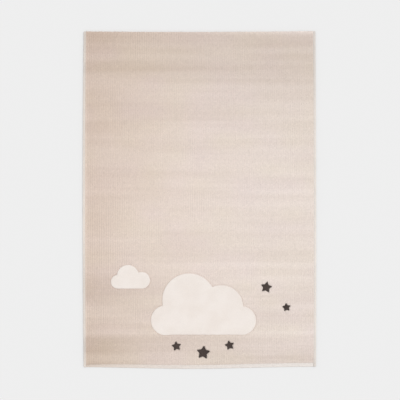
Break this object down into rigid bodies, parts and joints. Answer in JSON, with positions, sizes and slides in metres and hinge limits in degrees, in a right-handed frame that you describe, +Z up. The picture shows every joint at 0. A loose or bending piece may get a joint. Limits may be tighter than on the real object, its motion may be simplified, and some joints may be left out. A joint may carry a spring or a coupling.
{
  "type": "kids rug",
  "caption": "Rectangular woven rug for a child's room: short beige pile in fine ribs, ivory clouds and dark stars in plush relief, flat woven hem at the near end, overcast yarn at both sides.",
  "frame": {"origin": "on the floor, under the middle of the rug's outer box", "axes": "+Y along the rug to its far end, away from the hem and the pictured end; +X across it to the right; +Z up, out of the pile"},
  "size_m": [1.5992, 2.3136, 0.013],
  "materials": {
    "field_pile": "matt short pile of curled yarn, heathered beige, in fine lengthwise ribs",
    "ivory_pile": "matt plush pile, ivory",
    "charcoal_pile": "matt plush pile, warm charcoal",
    "edge_yarn": "twisted overcast yarn, pale beige, slight lustre",
    "ground_weave": "matt flat weave, pale beige, seen at the hem and on the back"
  },
  "bodies": {
    "root": {"rug_cloth": "field_pile", "overcast_edge_left": "edge_yarn", "overcast_edge_right": "edge_yarn"}
  },
  "joints": []
}
